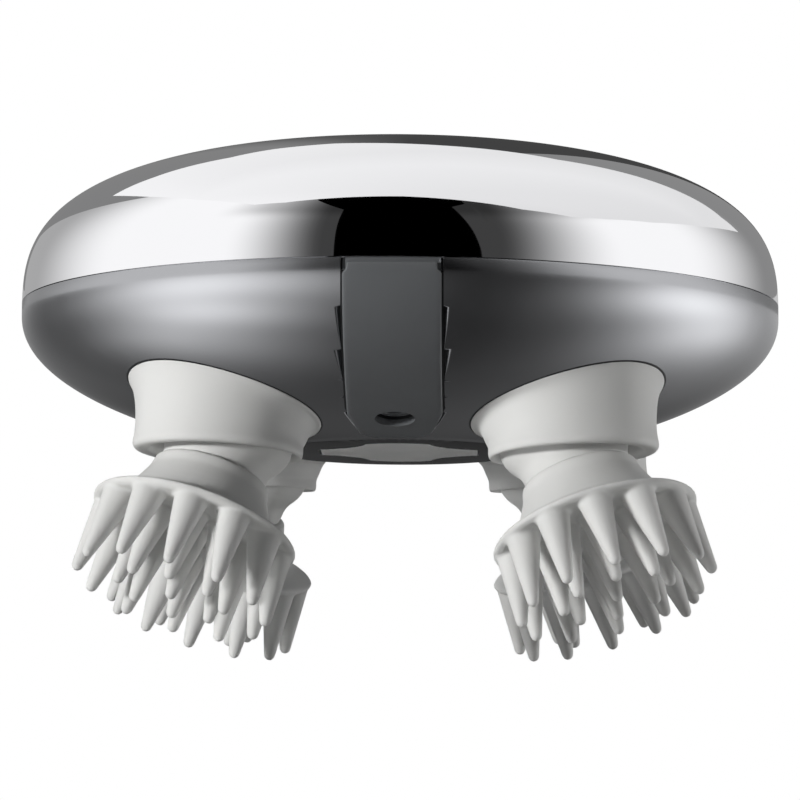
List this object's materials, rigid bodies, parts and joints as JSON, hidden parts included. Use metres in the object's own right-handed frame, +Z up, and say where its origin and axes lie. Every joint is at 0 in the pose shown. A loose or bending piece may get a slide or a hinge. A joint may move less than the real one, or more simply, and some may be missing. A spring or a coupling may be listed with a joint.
{
  "type": "electric scalp massager",
  "caption": "Lens-shaped electric scalp massager: a chrome dome over a dark bowl, with leaning silicone heads on geared cranks that nutate, each with a crown of soft tines.",
  "frame": {"origin": "centre of the circle that the lowest tine tips stand on, on the surface below the massager", "axes": "+Z up through the power button, -Y towards the charging strip at the front"},
  "size_m": [0.124, 0.124, 0.0821],
  "materials": {
    "chrome_shell": "mirror-bright vacuum-plated ABS",
    "satin_shell": "satin dark grey metallic lacquer on ABS",
    "dark_strip": "fine matt moulded ABS",
    "silicone": "matt light grey silicone rubber",
    "black_rubber": "matt black silicone rubber",
    "black_plastic": "moulded black nylon",
    "satin_button": "satin silver lacquer",
    "gold_contact": "gold-flashed contact pin",
    "steel": "bright zinc or machined steel",
    "crank_metal": "sintered steel",
    "acetal": "natural acetal",
    "frame_plastic": "glass-filled nylon",
    "cell_sleeve": "shrink sleeve",
    "board": "solder mask"
  },
  "bodies": {
    "housing": {"upper_shell": "chrome_shell", "lower_shell": "satin_shell", "seam_seal": "black_rubber", "front_strip": "dark_strip", "charge_socket": "black_plastic", "charge_pin": "gold_contact", "star_plate": "silicone", "base_screws": "steel", "chassis_plate": "frame_plastic", "gear_cover": "frame_plastic", "shell_screws": "steel", "output_bearings": "steel", "boot_clamps": "frame_plastic", "gearhead": "steel", "motor": "steel", "motor_screws": "steel", "battery_cradles": "frame_plastic", "battery_cells": "cell_sleeve", "circuit_board": "board", "board_screws": "steel", "tact_switch": "black_plastic", "button_ring": "black_rubber", "boot_1": "silicone", "boot_2": "silicone", "boot_3": "silicone", "boot_4": "silicone"},
    "power_button": {"power_button": "satin_button"},
    "drive": {"drive_gear": "acetal", "drive_shaft": "steel"},
    "output_1": {"output_gear_1": "acetal", "crank_1": "crank_metal"},
    "head_1": {"massage_head_1": "silicone", "neck_sleeve_1": "silicone", "head_hub_1": "frame_plastic", "spindle_1": "steel"},
    "output_2": {"output_gear_2": "acetal", "crank_2": "crank_metal"},
    "head_2": {"massage_head_2": "silicone", "neck_sleeve_2": "silicone", "head_hub_2": "frame_plastic", "spindle_2": "steel"},
    "output_3": {"output_gear_3": "acetal", "crank_3": "crank_metal"},
    "head_3": {"massage_head_3": "silicone", "neck_sleeve_3": "silicone", "head_hub_3": "frame_plastic", "spindle_3": "steel"},
    "output_4": {"output_gear_4": "acetal", "crank_4": "crank_metal"},
    "head_4": {"massage_head_4": "silicone", "neck_sleeve_4": "silicone", "head_hub_4": "frame_plastic", "spindle_4": "steel"}
  },
  "joints": [
    {"name": "power_button_press", "type": "slide", "parent": "housing", "child": "power_button", "axis": [0, 0, 1], "range_m": [-0.0006, 0], "stiffness_N_per_m": 400, "springref_m": 0.001},
    {"name": "drive_gear_spin", "type": "hinge", "parent": "housing", "child": "drive", "pos_m": [0, 0, 0.05074], "axis": [0, 0, 1], "continuous": true},
    {"name": "output_gear_1_spin", "type": "hinge", "parent": "housing", "child": "output_1", "pos_m": [0.02716, 0.02716, 0.05074], "axis": [0, 0, 1], "continuous": true},
    {"name": "output_gear_2_spin", "type": "hinge", "parent": "housing", "child": "output_2", "pos_m": [-0.02716, 0.02716, 0.05074], "axis": [0, 0, 1], "continuous": true},
    {"name": "output_gear_3_spin", "type": "hinge", "parent": "housing", "child": "output_3", "pos_m": [-0.02716, -0.02716, 0.05074], "axis": [0, 0, 1], "continuous": true},
    {"name": "output_gear_4_spin", "type": "hinge", "parent": "housing", "child": "output_4", "pos_m": [0.02716, -0.02716, 0.05074], "axis": [0, 0, 1], "continuous": true},
    {"name": "head_1_turn", "type": "hinge", "parent": "output_1", "child": "head_1", "pos_m": [0.02716, 0.02716, 0.03174], "axis": [-0.282, -0.282, 0.9171], "continuous": true},
    {"name": "head_2_turn", "type": "hinge", "parent": "output_2", "child": "head_2", "pos_m": [-0.02716, 0.02716, 0.03174], "axis": [0.282, -0.282, 0.9171], "continuous": true},
    {"name": "head_3_turn", "type": "hinge", "parent": "output_3", "child": "head_3", "pos_m": [-0.02716, -0.02716, 0.03174], "axis": [0.282, 0.282, 0.9171], "continuous": true},
    {"name": "head_4_turn", "type": "hinge", "parent": "output_4", "child": "head_4", "pos_m": [0.02716, -0.02716, 0.03174], "axis": [-0.282, 0.282, 0.9171], "continuous": true}
  ],
  "couplings": [
    {"joint": "output_gear_1_spin", "follows": "drive_gear_spin", "ratio": -1.4},
    {"joint": "output_gear_2_spin", "follows": "drive_gear_spin", "ratio": -1.4},
    {"joint": "output_gear_3_spin", "follows": "drive_gear_spin", "ratio": -1.4},
    {"joint": "output_gear_4_spin", "follows": "drive_gear_spin", "ratio": -1.4},
    {"joint": "head_1_turn", "follows": "drive_gear_spin", "ratio": 1.4},
    {"joint": "head_2_turn", "follows": "drive_gear_spin", "ratio": 1.4},
    {"joint": "head_3_turn", "follows": "drive_gear_spin", "ratio": 1.4},
    {"joint": "head_4_turn", "follows": "drive_gear_spin", "ratio": 1.4}
  ]
}
